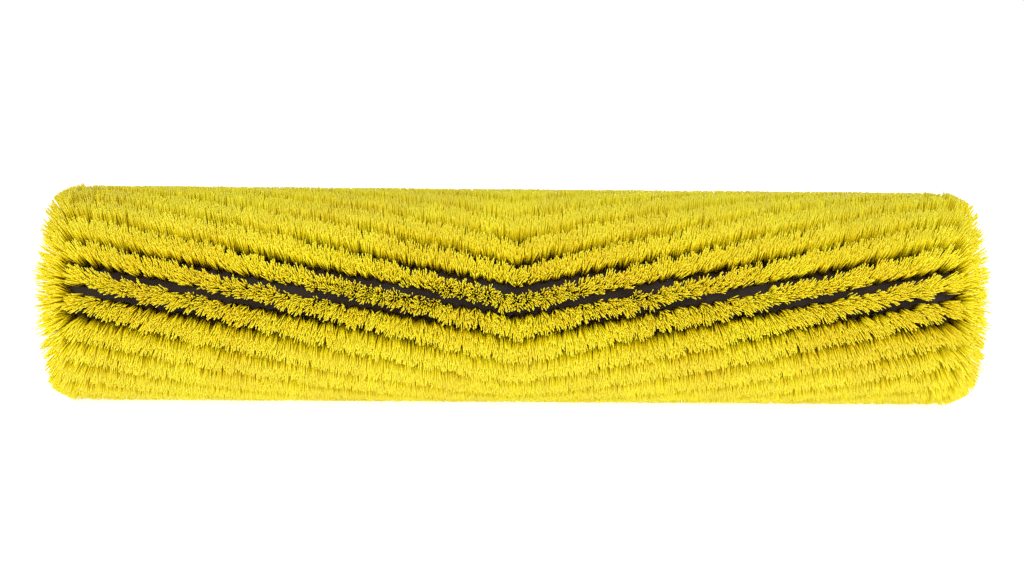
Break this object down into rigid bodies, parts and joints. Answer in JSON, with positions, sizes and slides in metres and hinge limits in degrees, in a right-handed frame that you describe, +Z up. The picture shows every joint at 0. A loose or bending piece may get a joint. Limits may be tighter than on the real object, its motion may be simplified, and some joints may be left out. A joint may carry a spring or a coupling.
{
  "type": "cylindrical roller brush",
  "caption": "Cylindrical roller brush for floor scrubbing: chevron rows of stiff bristles on a core tube, with a hexagonal drive socket and a bearing stub axle.",
  "frame": {"origin": "middle of the brush on its axis, in the plane of the chevrons' points", "axes": "+X along the brush's axis towards the drive socket, +Z up, -Y towards the side where the chevrons point down"},
  "size_m": [0.404, 0.096, 0.096],
  "materials": {
    "bristle": "stiff round monofilament, satin, cut ends",
    "core_plastic": "turned black plastic",
    "plug_plastic": "moulded black glass-filled nylon",
    "bearing_steel": "ground bearing steel",
    "cage_plastic": "moulded tan nylon",
    "seal_rubber": "moulded black rubber",
    "axle_steel": "turned bright steel",
    "spring_steel": "phosphated dark spring steel",
    "screw_steel": "zinc-plated steel"
  },
  "bodies": {
    "axle": {"idler_axle": "axle_steel", "bearing_inner_ring": "bearing_steel", "axle_clip": "spring_steel"},
    "ball_set": {"bearing_cage": "cage_plastic", "bearing_ball_1": "bearing_steel", "bearing_ball_2": "bearing_steel", "bearing_ball_3": "bearing_steel", "bearing_ball_4": "bearing_steel", "bearing_ball_5": "bearing_steel", "bearing_ball_6": "bearing_steel", "bearing_ball_7": "bearing_steel", "bearing_ball_8": "bearing_steel"},
    "roller": {"core_tube": "core_plastic", "tuft_row_01": "bristle", "tuft_row_02": "bristle", "tuft_row_03": "bristle", "tuft_row_04": "bristle", "tuft_row_05": "bristle", "tuft_row_06": "bristle", "tuft_row_07": "bristle", "tuft_row_08": "bristle", "tuft_row_09": "bristle", "tuft_row_10": "bristle", "tuft_row_11": "bristle", "tuft_row_12": "bristle", "tuft_row_13": "bristle", "tuft_row_14": "bristle", "tuft_row_15": "bristle", "tuft_row_16": "bristle", "tuft_row_17": "bristle", "tuft_row_18": "bristle", "tuft_row_19": "bristle", "tuft_row_20": "bristle", "tuft_row_21": "bristle", "tuft_row_22": "bristle", "tuft_row_23": "bristle", "tuft_row_24": "bristle", "drive_plug": "plug_plastic", "idler_plug": "plug_plastic", "bearing_outer_ring": "bearing_steel", "bearing_seal_inner": "seal_rubber", "bearing_seal_outer": "seal_rubber", "bearing_clip": "spring_steel", "drive_plug_screw_1": "screw_steel", "drive_plug_screw_2": "screw_steel", "drive_plug_screw_3": "screw_steel", "idler_plug_screw_1": "screw_steel", "idler_plug_screw_2": "screw_steel", "idler_plug_screw_3": "screw_steel"}
  },
  "joints": [
    {"name": "roller_spin", "type": "hinge", "parent": "axle", "child": "roller", "pos_m": [0, 0, 0], "axis": [1, 0, 0], "continuous": true},
    {"name": "ball_orbit", "type": "hinge", "parent": "axle", "child": "ball_set", "pos_m": [-0.1842, 0, 0], "axis": [1, 0, 0], "continuous": true}
  ],
  "couplings": [
    {"joint": "ball_orbit", "follows": "roller_spin", "ratio": 0.619}
  ]
}
